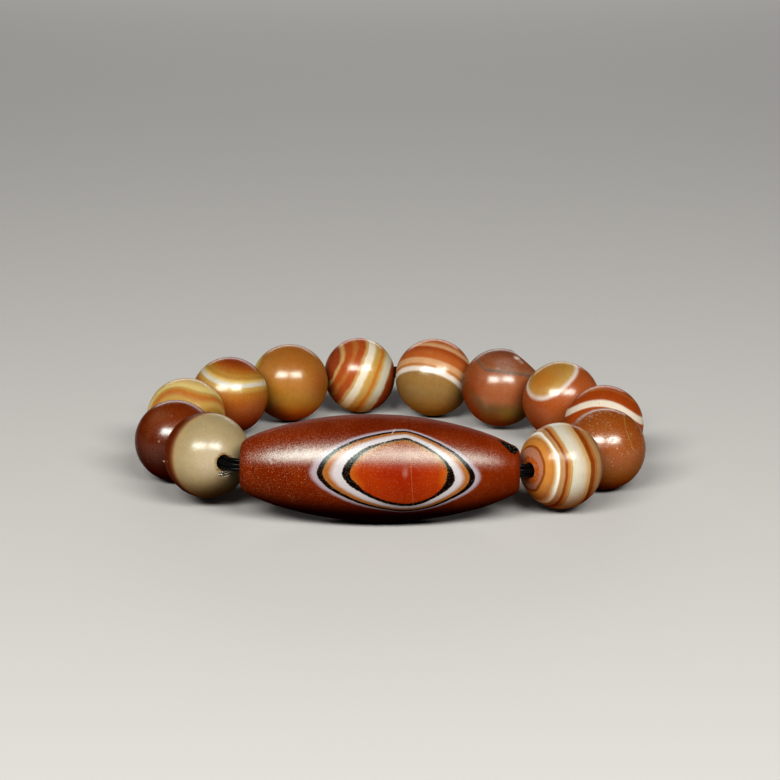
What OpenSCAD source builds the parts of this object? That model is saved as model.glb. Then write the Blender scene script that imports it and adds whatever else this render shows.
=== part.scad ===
// Bracelet of twelve round agate beads and one long barrel-shaped eye bead,
// strung on an elastic thread that runs through every bore as one closed loop.
// Millimetres. The floor is z = 0, the eye bead lies along X at the front (low Y),
// and the origin is on the floor under the middle of the bracelet.

/* [Eye bead] */
// Length of the eye bead from end face to end face
dzi_length = 46; // [40:0.1:50]
// Diameter of the eye bead at its widest place
dzi_d = 17.8; // [15:0.1:20]
// Radius of the long arc that its side follows
dzi_side_r = 58.8; // [50:0.1:80]
// How far its widest place lies to the left of its middle
dzi_belly_shift = 0.5; // [0:0.1:2]
// Radius of the rounding round each end
dzi_rim_r = 1.9; // [1:0.1:2.4]

/* [Bores] */
// Diameter of the bore through every bead
bore_d = 2.7; // [2.6:0.1:3]
// Depth of the small cone that opens each bore mouth
mouth_chamfer = 0.35; // [0.1:0.05:0.6]

/* [Thread] */
// Diameter of the bundle of elastic strands
thread_d = 2; // [1.6:0.1:2.1]
// Number of sides of the thread's tube
thread_sides = 10; // [8:1:12]
// How far the thread runs on past a bore mouth before it bends
thread_lead = 0.45; // [0.2:0.05:0.8]

/* [Wear] */
// Depth of the flat ground on one bead
flat_depth = 0.65; // [0.2:0.05:1.2]
// Width of the chip under one bore mouth
chip_width = 2.2; // [1:0.1:3]
// Depth of that chip and of the pitted hollow on the eye bead
chip_depth = 0.25; // [0.1:0.05:0.5]
// Length of the pitted hollow near the right end of the eye bead
pit_length = 3.2; // [2:0.1:5]

/* [Hidden] */
$fn = 96;

// The round beads, from the left end of the eye bead round the back to its right end.
// Columns: place in X, place in Y, lift off the floor, diameter,
// length along the bore as a share of the diameter, heading of the bore in degrees.
BEADS = [
    [-31.0, -22.3, 1.3, 14.5, 1.00, 117],
    [-37.4,  -9.5, 0.0, 14.2, 1.00, 113],
    [-36.7,   4.8, 0.0, 14.1, 1.00, 63],
    [-29.7,  17.1, 0.5, 14.1, 1.00, 56],
    [-19.1,  26.9, 0.0, 14.4, 1.00, 31],
    [ -6.1,  32.5, 0.0, 14.1, 0.96, 14.5],
    [  7.9,  30.1, 0.0, 14.6, 1.00, -32.5],
    [ 20.1,  22.4, 0.3, 14.5, 1.00, -33.5],
    [ 30.7,  12.7, 0.9, 14.1, 1.00, -50],
    [ 37.4,   0.1, 0.0, 14.1, 1.00, -76],
    [ 36.4, -14.1, 0.0, 14.1, 1.00, -109.5],
    [ 28.1, -25.7, 0.5, 14.5, 0.96, -144],
];
X = 0;
Y = 1;
LIFT = 2;
DIAMETER = 3;
SHARE = 4;
HEADING = 5;
last_bead = len(BEADS) - 1;

// Colours of the agate in the same order
BEAD_COLOURS = [
    "#b0a585", "#5a2018", "#c99a4a", "#c07030", "#b5741f", "#c05a28",
    "#b5683a", "#8a4a35", "#c05f2a", "#b85a2a", "#b0602a", "#cfa070",
];

// The eye bead's widest place, its turn about Z and its slope down to the right
dzi_belly = [-2.5, -30.5];
dzi_turn = -0.5;
dzi_slope = 0.9;
dzi_left = dzi_length / 2 - dzi_belly_shift;
dzi_right = dzi_length / 2 + dzi_belly_shift;
dzi_r = dzi_d / 2;
// Height of its axis at the widest place, with the lowest point of its side on the floor
dzi_z = dzi_side_r - (dzi_side_r - dzi_r) * cos(dzi_slope);

bore_r = bore_d / 2;
// How far a cutting body runs on past the surface that it cuts
past = 1;

// Direction, seen from its bead, of the flat on bead 08 and of the chip on bead 01
flat_dir = [0.66, 0.21, 0.72];
chip_dir = [0.39, -0.90, -0.16];
// Place of the pitted hollow: distance from the widest place and height angle round the
// axis, from level at the front to the top
pit_along = 21.2;
pit_angle = 70;

// Centre of bead i
function bead_z(i) = BEADS[i][LIFT] + BEADS[i][DIAMETER] / 2;
function bead_centre(i) = [BEADS[i][X], BEADS[i][Y], bead_z(i)];
function unit(v) = v / norm(v);
function level(v) = norm([v.x, v.y]);

// Point on the eye bead's axis, measured from its widest place
dzi_axis = [
    cos(dzi_turn) * cos(dzi_slope),
    sin(dzi_turn) * cos(dzi_slope),
    -sin(dzi_slope),
];
function dzi_point(along) = [dzi_belly.x, dzi_belly.y, dzi_z] + along * dzi_axis;

// Stations of the loop: the eye bead's left end, the beads' centres and its right end
STATIONS = concat(
    [dzi_point(-dzi_left)],
    [for (i = [0:last_bead]) bead_centre(i)],
    [dzi_point(dzi_right)]
);

// The bore of bead i follows the loop up and down, and its own heading round it
function bore_slope(i) =
    let (run = STATIONS[i + 2] - STATIONS[i])
    atan2(run.z, level(run));
function bore_dir(i) = [
    cos(bore_slope(i)) * cos(BEADS[i][HEADING]),
    cos(bore_slope(i)) * sin(BEADS[i][HEADING]),
    sin(bore_slope(i)),
];
function half_length(i) = BEADS[i][DIAMETER] * BEADS[i][SHARE] / 2;
function mouth(i, side) = bead_centre(i) + side * half_length(i) * bore_dir(i);

// A straight bore of half length reach along Z, opened by a cone at each mouth
module bore(reach_low, reach_high) {
    translate([0, 0, -reach_low - past])
        cylinder(h = reach_low + reach_high + 2 * past, r = bore_r);
    translate([0, 0, reach_high - mouth_chamfer])
        cylinder(h = mouth_chamfer + past, r1 = bore_r, r2 = bore_r + mouth_chamfer + past);
    mirror([0, 0, 1])
        translate([0, 0, reach_low - mouth_chamfer])
            cylinder(h = mouth_chamfer + past, r1 = bore_r, r2 = bore_r + mouth_chamfer + past);
}

// Turns what is drawn along Z to the direction dir
module along(dir) {
    rotate([0, acos(dir.z / norm(dir)), atan2(dir.y, dir.x)])
        children();
}

// One round bead with its bore
module round_bead(i) {
    translate(bead_centre(i))
        along(bore_dir(i))
            difference() {
                scale([1, 1, BEADS[i][SHARE]])
                    sphere(d = BEADS[i][DIAMETER]);
                bore(half_length(i), half_length(i));
            }
}

// A shallow round hollow of the given width and depth, pressed in at the origin from +Z
module hollow(width, depth) {
    ball_r = (width * width / 4 + depth * depth) / (2 * depth);
    translate([0, 0, ball_r - depth])
        sphere(r = ball_r);
}

// Half outline of the eye bead: radius in X, distance from its widest place in Y
module dzi_profile() {
    arc_x = dzi_r - dzi_side_r;
    difference() {
        intersection() {
            translate([arc_x, 0])
                circle(r = dzi_side_r);
            translate([0, -dzi_left])
                square([dzi_r, dzi_left + dzi_right]);
        }
        rim_waste(dzi_right);
        mirror([0, 1])
            rim_waste(dzi_left);
    }
}

// What the rounding takes off the outline's corner at the end face y = reach
module rim_waste(reach) {
    arc_x = dzi_r - dzi_side_r;
    rim_y = reach - dzi_rim_r;
    rim_x = arc_x + sqrt(pow(dzi_side_r - dzi_rim_r, 2) - rim_y * rim_y);
    out = unit([rim_x - arc_x, rim_y]);
    difference() {
        polygon([
            [rim_x, rim_y],
            [rim_x, rim_y] + (dzi_rim_r + past) * out,
            [rim_x + dzi_rim_r + past, reach + past],
            [rim_x, reach + past],
        ]);
        translate([rim_x, rim_y])
            circle(r = dzi_rim_r);
    }
}

module dzi_bead() {
    color("#7d2d14")
        translate(dzi_point(0))
            along(dzi_axis)
                difference() {
                    rotate_extrude()
                        dzi_profile();
                    bore(dzi_left, dzi_right);
                    rotate([0, 0, 270 - pit_angle])
                        translate([dzi_surface_r(pit_along), 0, pit_along])
                            rotate([0, 90 - dzi_surface_slope(pit_along), 0])
                                hollow(pit_length, chip_depth);
                }
}

// Radius of the eye bead and the slope of its side at a distance from the widest place
function dzi_surface_r(y) = dzi_r - dzi_side_r + sqrt(dzi_side_r * dzi_side_r - y * y);
function dzi_surface_slope(y) = asin(y / dzi_side_r);

module bead_01() {
    color(BEAD_COLOURS[0])
        difference() {
            round_bead(0);
            translate(bead_centre(0) + BEADS[0][DIAMETER] / 2 * unit(chip_dir))
                along(chip_dir)
                    hollow(chip_width, chip_depth);
        }
}

module bead_02() { color(BEAD_COLOURS[1]) round_bead(1); }
module bead_03() { color(BEAD_COLOURS[2]) round_bead(2); }
module bead_04() { color(BEAD_COLOURS[3]) round_bead(3); }
module bead_05() { color(BEAD_COLOURS[4]) round_bead(4); }
module bead_06() { color(BEAD_COLOURS[5]) round_bead(5); }
module bead_07() { color(BEAD_COLOURS[6]) round_bead(6); }

module bead_08() {
    bead_r = BEADS[7][DIAMETER] / 2;
    color(BEAD_COLOURS[7])
        difference() {
            round_bead(7);
            translate(bead_centre(7))
                along(flat_dir)
                    translate([-bead_r, -bead_r, bead_r - flat_depth])
                        cube([2 * bead_r, 2 * bead_r, bead_r]);
        }
}

module bead_09() { color(BEAD_COLOURS[8]) round_bead(8); }
module bead_10() { color(BEAD_COLOURS[9]) round_bead(9); }
module bead_11() { color(BEAD_COLOURS[10]) round_bead(10); }
module bead_12() { color(BEAD_COLOURS[11]) round_bead(11); }

// Where the bores of beads i and i + 1 meet: each is carried on past its mouth by half
// the gap between the mouths, and the bend lies midway between the two points
function meeting(i) =
    let (
        gap = norm(mouth(i + 1, -1) - mouth(i, 1)),
        half_turn_cos = norm(bore_dir(i) + bore_dir(i + 1)) / 2,
        reach = gap / 2 / half_turn_cos
    )
    (mouth(i, 1) + reach * bore_dir(i) + mouth(i + 1, -1) - reach * bore_dir(i + 1)) / 2;

// The thread's route, as a closed loop: a bend where each two bores meet,
// and two bends at each end of the eye bead, one clear of either mouth
ROUTE = concat(
    [dzi_point(-dzi_left - thread_lead)],
    [mouth(0, -1) - thread_lead * bore_dir(0)],
    [for (i = [0:last_bead - 1]) meeting(i)],
    [mouth(last_bead, 1) + thread_lead * bore_dir(last_bead)],
    [dzi_point(dzi_right + thread_lead)]
);
bends = len(ROUTE);

// A ring of the tube at bend i: its sides lie in the plane that halves the bend
function ring(i) =
    let (
        here = ROUTE[i],
        before = unit(here - ROUTE[(i + bends - 1) % bends]),
        after = unit(ROUTE[(i + 1) % bends] - here),
        mean = unit(before + after),
        side = unit(cross([0, 0, 1], mean)),
        top = cross(mean, side),
        bend = unit(after - before + [0, 0, 1e-6]),
        stretch = 1 / (mean * after) - 1
    )
    [for (k = [0:thread_sides - 1])
        let (
            turn = 360 * k / thread_sides,
            spoke = thread_d / 2 * (cos(turn) * side + sin(turn) * top)
        )
        here + spoke + stretch * (spoke * bend) * bend
    ];

module thread() {
    n = thread_sides;
    points = [for (i = [0:bends - 1]) each ring(i)];
    faces = [for (i = [0:bends - 1]) for (k = [0:n - 1])
        let (next_ring = (i + 1) % bends * n, next_side = (k + 1) % n)
        each [
            [i * n + k, next_ring + k, next_ring + next_side],
            [i * n + k, next_ring + next_side, i * n + next_side],
        ]
    ];
    color("#101010")
        polyhedron(points = points, faces = faces);
}

dzi_bead();
bead_01();
bead_02();
bead_03();
bead_04();
bead_05();
bead_06();
bead_07();
bead_08();
bead_09();
bead_10();
bead_11();
bead_12();
thread();
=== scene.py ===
"""Bracelet of twelve round agate beads and one long eye bead, strung on a bundle of elastic.

Metres, +Z up, the floor at z = 0 and the eye bead along X at the front. Every round bead takes
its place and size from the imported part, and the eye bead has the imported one's measures. The
functions that shape a bead work in millimetres.
"""
import math
import bpy
import numpy as np
from mathutils import Matrix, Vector
from numpy.linalg import norm


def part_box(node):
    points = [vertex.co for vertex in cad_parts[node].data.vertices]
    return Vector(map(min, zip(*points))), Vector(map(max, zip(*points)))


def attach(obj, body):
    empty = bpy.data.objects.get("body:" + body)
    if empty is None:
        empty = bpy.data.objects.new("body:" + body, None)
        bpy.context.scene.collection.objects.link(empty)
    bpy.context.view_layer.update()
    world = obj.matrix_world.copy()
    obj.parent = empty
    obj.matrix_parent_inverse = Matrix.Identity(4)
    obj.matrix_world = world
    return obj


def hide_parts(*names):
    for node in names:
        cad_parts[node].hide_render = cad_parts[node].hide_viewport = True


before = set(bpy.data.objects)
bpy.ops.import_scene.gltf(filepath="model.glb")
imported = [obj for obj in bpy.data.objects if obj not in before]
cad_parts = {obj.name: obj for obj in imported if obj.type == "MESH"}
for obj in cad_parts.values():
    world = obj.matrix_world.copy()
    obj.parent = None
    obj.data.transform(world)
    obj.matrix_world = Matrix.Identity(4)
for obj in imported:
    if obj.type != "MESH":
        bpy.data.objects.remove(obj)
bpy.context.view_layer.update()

MM = 0.001
UP = (0, 0, 1)


def new_object(name, data):
    """An object of the data, linked to the scene."""
    thing = bpy.data.objects.new(name, data)
    bpy.context.scene.collection.objects.link(thing)
    return thing


# Camera, at the photograph's viewing angle

CAMERA_PLACE = (-0.00035, -0.4226, 0.13504)
CAMERA_PITCH = 16.05          # degrees below level
CAMERA_LENS = 115.385         # millimetres on a 36 mm sensor


def set_camera():
    """Camera in front of the eye bead, looking along +Y and down by the pitch."""
    data = bpy.data.cameras.new("camera")
    data.lens, data.sensor_width, data.sensor_fit = CAMERA_LENS, 36.0, "HORIZONTAL"
    data.clip_start, data.clip_end = 0.01, 20.0
    camera = new_object("camera", data)
    camera.location = CAMERA_PLACE
    camera.rotation_euler = (math.radians(90 - CAMERA_PITCH), 0, 0)
    bpy.context.scene.camera = camera


# Colours, as they are seen: red, green and blue from 0 to 255

PALETTE = {
    "snow": (229, 217, 199), "milk": (210, 194, 167), "shell": (194, 171, 143),
    "ivory": (188, 176, 150), "cream": (210, 183, 115), "straw": (201, 169, 101),
    "bone": (180, 160, 115), "butter": (190, 160, 108),
    "gold": (180, 140, 72), "wheat": (184, 144, 90), "apricot": (201, 148, 106),
    "sand": (172, 128, 84), "mustard": (170, 122, 52), "khaki": (144, 106, 58),
    "bronze": (147, 109, 44), "copper": (176, 112, 56), "saffron": (180, 107, 34),
    "orange": (176, 94, 42), "tan": (167, 101, 47), "honey": (162, 100, 34),
    "amber": (154, 80, 24), "rust": (160, 74, 28), "brick": (143, 64, 29),
    "russet": (135, 58, 14), "chestnut": (115, 46, 5), "clay": (124, 70, 45),
    "mauve": (143, 81, 46), "buff": (142, 97, 64), "umber": (92, 50, 9),
    "bay": (93, 33, 5), "oxblood": (72, 21, 1), "garnet": (49, 10, 1),
    "olive": (70, 45, 10), "rose": (170, 112, 84), "mist": (176, 150, 136),
    "soot": (16, 6, 3), "ink": (8, 7, 7),
    "paper": (182, 175, 174), "ochre": (150, 93, 42), "lilac": (156, 142, 147),
    "ember": (136, 36, 4), "flame": (148, 50, 6), "glow": (162, 76, 16),
    "satin_red": (104, 32, 0), "satin_brown": (116, 43, 5), "terracotta": (162, 84, 38),
    "chalk": (214, 194, 178), "pearl": (197, 183, 160), "sesame": (196, 158, 109),
    "tawny": (190, 124, 55), "fox": (134, 62, 8), "grape": (110, 85, 68),
    "moss": (114, 79, 41), "cedar": (157, 90, 52), "china": (224, 213, 200),
    "sienna": (160, 72, 20),
}

PAINT = 0.5        # the paint is darker than the colour seen, because the soft boxes are bright


def colour(name, share=PAINT):
    """The named colour as linear light with full alpha."""
    seen = np.array(PALETTE[name] if isinstance(name, str) else name) / 255.0
    light = np.where(seen <= 0.04045, seen / 12.92, ((seen + 0.055) / 1.055) ** 2.4)
    return (*(light * share).tolist(), 1.0)


def shade(red, green, blue):
    """A colour to multiply by, given as seen from 0 to 255."""
    return colour([red, green, blue], 1.0)


# Node materials

AGATE_INDEX = 1.54            # of refraction
GLOW_DEPTH = 0.0012           # how far light goes into the stone, in metres
GLOW_RADIUS = (1.0, 0.45, 0.2)    # the same as a share, for red, green and blue
PAINTED_SHADE_BLACK = (0.0, 0.0, 0.0, 1.0)


class Finish:
    """A finish being built up from nodes. Each method adds one step and returns its outlet."""

    def __init__(self, name):
        self.material = bpy.data.materials.new(name)
        self.material.use_nodes = True
        self.tree = self.material.node_tree
        self.shader = self.tree.nodes["Principled BSDF"]

    def step(self, kind, inlets=(), **settings):
        """One node: its settings, then its inlets by name or number, a value or an outlet."""
        node = self.tree.nodes.new("ShaderNode" + kind)
        for key, value in settings.items():
            setattr(node, key, value)
        for key, value in dict(inlets).items():
            self.join(value, node.inputs[key])
        return node

    def join(self, value, inlet):
        """Links an outlet to an inlet, or sets the inlet to a plain value."""
        if isinstance(value, bpy.types.NodeSocket):
            self.tree.links.new(value, inlet)
        else:
            inlet.default_value = value

    def place(self, location, scale, turn=(0, 0, 0)):
        """Object coordinates, scaled and turned, then moved by the location."""
        coords = self.step("TexCoord").outputs["Object"]
        return self.step("Mapping", {
            "Vector": coords, "Location": location, "Rotation": turn,
            "Scale": (scale,) * 3}).outputs["Vector"]

    def sum(self, how, a, b=0.0, c=0.0):
        """Arithmetic on plain numbers: ABSOLUTE, SINE, DIVIDE, MAXIMUM and so on."""
        return self.step("Math", {0: a, 1: b, 2: c}, operation=how).outputs[0]

    def times(self, *values):
        """Product of two or more numbers."""
        product = values[0]
        for value in values[1:]:
            product = self.sum("MULTIPLY", product, value)
        return product

    def minus(self, a, b):
        """a - b."""
        return self.sum("SUBTRACT", a, b)

    def times_plus(self, a, b, c):
        """a * b + c."""
        return self.sum("MULTIPLY_ADD", a, b, c)

    def diagonal(self, a, b):
        """Length of the diagonal over two sides."""
        return self.sum("SQRT", self.times_plus(a, a, self.times(b, b)))

    def vector(self, how, a, b, c=(0, 0, 0)):
        """Arithmetic on vectors. The first outlet is a vector and the second one a number."""
        return self.step("VectorMath", {0: a, 1: b, 2: c}, operation=how).outputs

    def along(self, spot, direction):
        """How far the spot lies along a direction."""
        return self.vector("DOT_PRODUCT", spot, tuple(direction))[1]

    def axes(self, spot):
        """The spot's three coordinates."""
        return [self.along(spot, axis) for axis in ((1, 0, 0), (0, 1, 0), UP)]

    def away(self, spot, centre):
        """Distance of the spot from a centre."""
        return self.vector("DISTANCE", spot, tuple(centre))[1]

    def noise(self, spot, scale, detail=3.0, rough=0.5, outlet="Fac"):
        """Smooth noise from 0 to 1, about 0.5."""
        return self.step("TexNoise", {"Vector": spot, "Scale": scale, "Detail": detail,
                                      "Roughness": rough}).outputs[outlet]

    def wander(self, spot, scale, amount):
        """The spot pushed about by smooth noise, up to the amount each way."""
        push = self.noise(spot, scale, 2.0, outlet="Color")
        centred = self.vector("SUBTRACT", push, (0.5, 0.5, 0.5))[0]
        return self.vector("MULTIPLY_ADD", centred, (2 * amount,) * 3, spot)[0]

    def cells(self, spot, scale):
        """Points scattered one to a cell: Distance in cell widths, Color drawn for each."""
        return self.step("TexVoronoi", {"Vector": spot, "Scale": scale})

    def specks(self, spot, scale, size, share):
        """Round specks in a share of the cells, one to a cell: 1 within the size."""
        node = self.cells(spot, scale)
        dot = self.fade(node.outputs["Distance"], size * 0.4, size, 1.0, 0.0)
        picked = self.fade(self.along(node.outputs["Color"], (1, 0, 0)), 0.95 - share,
                           1.05 - share)
        return self.times(dot, picked)

    def oval(self, spot, centre, across, wide, tall):
        """0 at the centre of an upright oval and 1 at its edge, where across is level."""
        offset = self.vector("SUBTRACT", spot, tuple(centre))[0]
        u = self.along(offset, unit(across) / wide)
        v = self.along(offset, (0, 0, 1 / tall))
        return self.diagonal(u, v)

    def hairline(self, value, at, width, strength=1.0):
        """A thin line where the value passes a level."""
        gap = self.sum("ABSOLUTE", self.minus(value, at))
        return self.fade(gap, width * 0.4, width, strength, 0.0)

    def fade(self, value, start, end, low=0.0, high=1.0, how="SMOOTHSTEP"):
        """Goes from low at start to high at end, smoothly or, with LINEAR, evenly."""
        return self.step("MapRange", {
            "Value": value, "From Min": start, "From Max": end, "To Min": low,
            "To Max": high}, interpolation_type=how).outputs[0]

    def blend(self, share, a, b, how="MIX"):
        """Colour a with colour b laid over it by the share."""
        node = self.step("Mix", data_type="RGBA", blend_type=how)
        pairs = zip((node.inputs[0], node.inputs[6], node.inputs[7]), (share, a, b))
        for inlet, value in pairs:
            self.join(colour(value) if isinstance(value, (str, list)) else value, inlet)
        return node.outputs[2]

    def ramp(self, share, marks):
        """Colour ramp over a share, through marks of a place from 0 to 1 and its colour."""
        node = self.step("ValToRGB", {"Fac": share})
        elements = node.color_ramp.elements
        elements.remove(elements[1])
        elements[0].position, elements[0].color = marks[0]
        for place, tint in marks[1:]:
            elements.new(place).color = tint
        return node

    def bands(self, level, stops, soft):
        """Colour by level. A stop is (level where it starts, colour, softness if not the usual);
        neighbouring colours run into each other over the softness."""
        low, high = stops[0][0] - 0.5, stops[-1][0] + 0.5
        marks = [(low, stops[0][1])]
        for before, here in zip(stops, stops[1:]):
            half = (here[2] if len(here) > 2 else soft) / 2
            marks += [(here[0] - half, before[1]), (here[0] + half, here[1])]
        marks = [((mark - low) / (high - low), colour(name)) for mark, name in marks]
        return self.ramp(self.fade(level, low, high, how="LINEAR"), marks).outputs["Color"]

    def around(self, direction, table):
        """Three lengths by direction, smoothly between the rows of a table that starts at
        -180 degrees and ends at 180."""
        rows = [((degrees + 180) / 360, (*(v / 10 for v in lengths), 1.0))
                for degrees, *lengths in table]
        ramp = self.ramp(self.fade(direction, -math.pi, math.pi, how="LINEAR"), rows)
        ramp.color_ramp.interpolation = "CARDINAL"
        parts = self.step("SeparateColor", {0: ramp.outputs["Color"]}).outputs
        return [self.times(parts[k], 10.0) for k in range(3)]

    def turned_away(self):
        """1 where the surface is seen face on, falling to almost 0 where it turns away."""
        facing = self.step("LayerWeight", {"Blend": 0.5}).outputs["Facing"]
        return self.fade(facing, 0.15, 0.6, 1.0, 0.06)

    def worn_polish(self, spot, scale, smooth, dull):
        """Roughness of a polish with many fine scuffs: half of it smooth, half dull."""
        return self.fade(self.noise(spot, scale, 2.0, 0.6), 0.46, 0.54, smooth, dull)

    def relief(self, height, depth, after=None):
        """Bump from a height, the depth in metres."""
        inlets = {"Height": height, "Distance": depth, "Strength": 1.0}
        if after is not None:
            inlets["Normal"] = after
        return self.step("Bump", inlets).outputs["Normal"]

    def done(self, base, rough, shine, normal=None, glow=0.0, sheen=(0.9, 1.0, 0.94, 1.0)):
        """Sets the shader: colour, roughness, gloss and light let into the stone. The plain
        gloss stays behind a linked one, for a viewer that can't follow the link."""
        self.shader.inputs["Specular IOR Level"].default_value = 0.25
        settings = {
            "Base Color": base, "Roughness": rough, "Specular IOR Level": shine,
            "Specular Tint": sheen, "IOR": AGATE_INDEX, "Subsurface Weight": glow,
            "Subsurface Radius": GLOW_RADIUS, "Subsurface Scale": GLOW_DEPTH}
        if normal is not None:
            settings["Normal"] = normal
        for key, value in settings.items():
            self.join(value, self.shader.inputs[key])
        return self.material


# Shapes

def unit(v):
    """The vector, or each row of an array, at length one."""
    v = np.asarray(v, float)
    return v / norm(v, axis=-1, keepdims=True)


def heading(turn, rise):
    """The direction at an angle round from +X and an angle up from level."""
    return np.array([math.cos(rise) * math.cos(turn), math.cos(rise) * math.sin(turn),
                     math.sin(rise)])


def closed_surface(name, points, material):
    """Mesh piece from a grid of points in millimetres, closed in both directions: each four
    neighbours make one face, and the last row and column join the first."""
    rows, columns = points.shape[:2]
    here = np.arange(rows * columns).reshape(rows, columns)
    down, right = np.roll(here, -1, 0), np.roll(here, -1, 1)
    faces = np.stack([here, right, np.roll(down, -1, 1), down], -1).reshape(-1, 4)
    mesh = bpy.data.meshes.new(name)
    mesh.vertices.add(rows * columns)
    mesh.vertices.foreach_set("co", (points.reshape(-1) * MM).astype(np.float32))
    mesh.loops.add(faces.size)
    mesh.loops.foreach_set("vertex_index", faces.reshape(-1))
    mesh.polygons.add(len(faces))
    mesh.polygons.foreach_set("loop_start", np.arange(0, faces.size, 4))
    mesh.polygons.foreach_set("use_smooth", np.ones(len(faces), bool))
    mesh.update(calc_edges=True)
    mesh.validate()
    mesh.materials.append(material)
    return new_object(name, mesh)


def arc(centre, radius, start, end, count):
    """Points of a circular arc from the start angle to the end angle, ends included."""
    angle = np.linspace(start, end, count)
    return np.array(centre) + radius * np.stack([np.cos(angle), np.sin(angle)], -1)


def turned(outline, centre, axis, around):
    """A closed outline (distance along the axis, distance out) carried round the axis:
    point = centre + along * axis + out * (cos t * side - sin t * top)."""
    side = unit(np.cross(UP, axis))
    top = np.cross(axis, side)
    t = np.linspace(0, 2 * math.pi, around, endpoint=False)[None, :, None]
    spoke = np.cos(t) * side - np.sin(t) * top
    return centre + outline[:, None, :1] * axis + outline[:, None, 1:] * spoke


def slow_lumps(direction, seed, count=7):
    """Gentle hand-ground lumps from 0 to 1: a sum of sine waves that cross the stone."""
    draw = np.random.default_rng(seed)
    waves = draw.normal(size=(count, 3)) * 2.2
    phase = draw.uniform(0, 2 * math.pi, count)
    total = np.sin(direction @ waves.T + phase).sum(-1) / count
    return 0.5 + 0.5 * np.clip(total * 1.6, -1, 1)


# The beads on the string, from the eye bead's left end round the back to its right end:
# its stone, its length along the bore as a share of the diameter, and the bore's heading in
# degrees

STRUNG = {
    "bead_01": ("grey_agate", 1.0, 117), "bead_02": ("dark_red_agate", 1.0, 113),
    "bead_03": ("yellow_banded_agate", 1.0, 63), "bead_04": ("orange_cap_agate", 1.0, 56),
    "bead_05": ("honey_agate", 1.0, 31), "bead_06": ("steep_striped_agate", 0.96, 14.5),
    "bead_07": ("arched_striped_agate", 1.0, -32.5), "bead_08": ("brown_agate", 1.0, -33.5),
    "bead_09": ("eye_spot_agate", 1.0, -50), "bead_10": ("white_band_agate", 1.0, -76),
    "bead_11": ("plain_orange_agate", 1.0, -109.5),
    "bead_12": ("cream_banded_agate", 0.96, -144),
}
BORE_R = 1.25
LIP_R = 0.18                  # rounding of a bore mouth
WITHIN = 0.02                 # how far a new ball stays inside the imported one
BALL_AROUND, EYE_AROUND = 160, 288    # points round the axis

# The eye bead: its widest place, turn about Z, slope down to the right, and shape
EYE_R = 8.9
EYE_SIDE_R = 58.8
EYE_LEFT, EYE_RIGHT = 22.5, 23.5
EYE_RIM_R = 1.9
EYE_WITHIN = 0.999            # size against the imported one
EYE_TURN, EYE_SLOPE = math.radians(-0.5), math.radians(0.9)
EYE_AXIS = heading(EYE_TURN, -EYE_SLOPE)
EYE_BACK = unit(np.cross(UP, EYE_AXIS))
EYE_UP = np.cross(EYE_AXIS, EYE_BACK)
EYE_CENTRE = np.array([-2.5, -30.5, EYE_SIDE_R - (EYE_SIDE_R - EYE_R) * math.cos(EYE_SLOPE)])

# The black rough wedge near the right end, in the eye bead's own directions
WEDGE_TIP, WEDGE_RUN = np.array([19.8, -0.57, 5.44]), unit((0.9, -0.2, -0.385))
WEDGE_ACROSS = unit(np.cross(WEDGE_RUN, unit((0.0, -0.2, 1.0))))
WEDGE_TAPER = 0.12            # how fast its growth in width slows down along the run
WEDGE_DEPTH = 0.2

# Wear on the eye bead in millimetres
END_WEAR, END_WEAR_FROM, END_WEAR_TO = 0.3, 14.5, 22.0
PITS, PIT_DEPTH, PIT_SIZES = 40, 0.08, (0.25, 0.6)


def bead_places():
    """Centre, radius, share and bore direction of every round bead, in millimetres. The bore
    rises and falls with the line between its neighbours, at its own heading."""
    centre, radius = {}, {}
    for node in STRUNG:
        low, high = (np.array(corner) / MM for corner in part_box(node))
        centre[node], radius[node] = (low + high) / 2, (high[2] - low[2]) / 2
    stations = ([EYE_CENTRE - EYE_LEFT * EYE_AXIS] + [centre[node] for node in STRUNG]
                + [EYE_CENTRE + EYE_RIGHT * EYE_AXIS])
    places = {}
    for i, (node, (slot, share, turn)) in enumerate(STRUNG.items()):
        run = stations[i + 2] - stations[i]
        rise = math.atan2(run[2], math.hypot(run[0], run[1]))
        places[node] = {"centre": centre[node], "radius": radius[node], "share": share,
                        "bore": heading(math.radians(turn), rise), "slot": slot}
    return places


def ball_outline(radius, share):
    """Closed outline of a drilled ball: rounded lip, the ball's arc, the other lip, the bore
    wall. The distance along the bore is multiplied by the share."""
    out = BORE_R + LIP_R
    along = math.sqrt((radius - LIP_R) ** 2 - out ** 2)
    open_angle = math.atan2(out, along)
    lip = arc((along, out), LIP_R, -math.pi / 2, open_angle, 7)
    side = arc((0, 0), radius, open_angle, math.pi - open_angle, 100)[1:-1]
    wall = np.stack([np.linspace(-along, along, 16), np.full(16, BORE_R)], -1)[1:-1]
    outline = np.concatenate([lip, side, lip[::-1] * (-1, 1), wall])
    return outline * (share, 1)


def eye_outline():
    """Closed outline of the eye bead: a long arc between two rounded rims, flat ends, small
    lips and the bore wall."""
    centre = EYE_R - EYE_SIDE_R
    parts = []
    for reach, sign in ((EYE_RIGHT, 1), (EYE_LEFT, -1)):
        rim_x = reach - EYE_RIM_R
        rim_y = centre + math.sqrt((EYE_SIDE_R - EYE_RIM_R) ** 2 - rim_x ** 2)
        meet = math.atan2(rim_y - centre, rim_x)
        lip = arc((reach - LIP_R, BORE_R + LIP_R), LIP_R, -math.pi / 2, 0, 7)
        rim = arc((rim_x, rim_y), EYE_RIM_R, 0, meet, 16)
        parts.append((np.concatenate([lip, rim]) * (sign, 1), meet))
    (right, right_meet), (left, left_meet) = parts
    side = arc((0, centre), EYE_SIDE_R, right_meet, math.pi - left_meet, 220)[1:-1]
    wall = np.linspace(-EYE_LEFT + LIP_R, EYE_RIGHT - LIP_R, 40)[1:-1]
    wall = np.stack([wall, np.full(len(wall), BORE_R)], -1)
    return np.concatenate([right, side, left[::-1], wall])


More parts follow.
